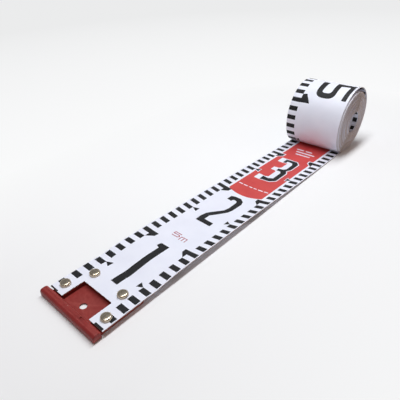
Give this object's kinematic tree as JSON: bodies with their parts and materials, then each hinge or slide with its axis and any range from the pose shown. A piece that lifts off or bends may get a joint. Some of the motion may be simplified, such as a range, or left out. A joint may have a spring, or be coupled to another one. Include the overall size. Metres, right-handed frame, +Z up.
{
  "type": "ribbon leveling rod",
  "caption": "Flat printed measuring ribbon for levelling, riveted to a moulded foot with a round bar and a pin hole, with the rest of its length wound in a roll.",
  "frame": {"origin": "on the axis of the foot's pin hole, at the floor", "axes": "+X along the ribbon from the zero end towards the roll, +Z up from the floor through the printed face"},
  "size_m": [0.3942, 0.0623, 0.07],
  "materials": {
    "foot_plastic": "dark red moulded plastic, semi-gloss",
    "rivet_metal": "nickel plated, polished",
    "ribbon_cloth": "white coated cloth, satin, printed in black and red"
  },
  "bodies": {
    "roll": {"ribbon_roll": "ribbon_cloth"},
    "run_d": {"ribbon_run_d": "ribbon_cloth"},
    "run_c": {"ribbon_run_c": "ribbon_cloth"},
    "run_b": {"ribbon_run_b": "ribbon_cloth"},
    "run_a": {"ribbon_run_a": "ribbon_cloth"},
    "foot": {"foot": "foot_plastic", "rivet_caps": "rivet_metal", "rivet_posts": "rivet_metal", "ribbon_tab": "ribbon_cloth"}
  },
  "joints": [
    {"name": "roll_flex", "type": "hinge", "parent": "roll", "child": "run_d", "pos_m": [0.3248, 0, 0.00035], "axis": [0, 1, 0], "range_deg": [-30, 40], "stiffness_Nm_per_rad": 0.05},
    {"name": "run_flex_3", "type": "hinge", "parent": "run_d", "child": "run_c", "pos_m": [0.25243, 0, 0.00125], "axis": [0, 1, 0], "range_deg": [-30, 30], "stiffness_Nm_per_rad": 0.05},
    {"name": "run_flex_2", "type": "hinge", "parent": "run_c", "child": "run_b", "pos_m": [0.18005, 0, 0.00235], "axis": [0, 1, 0], "range_deg": [-30, 30], "stiffness_Nm_per_rad": 0.05},
    {"name": "run_flex_1", "type": "hinge", "parent": "run_b", "child": "run_a", "pos_m": [0.10768, 0, 0.00425], "axis": [0, 1, 0], "range_deg": [-30, 30], "stiffness_Nm_per_rad": 0.05},
    {"name": "foot_flex", "type": "hinge", "parent": "run_a", "child": "foot", "pos_m": [0.0353, 0, 0.00515], "axis": [0, 1, 0], "range_deg": [-45, 60], "stiffness_Nm_per_rad": 0.05}
  ]
}
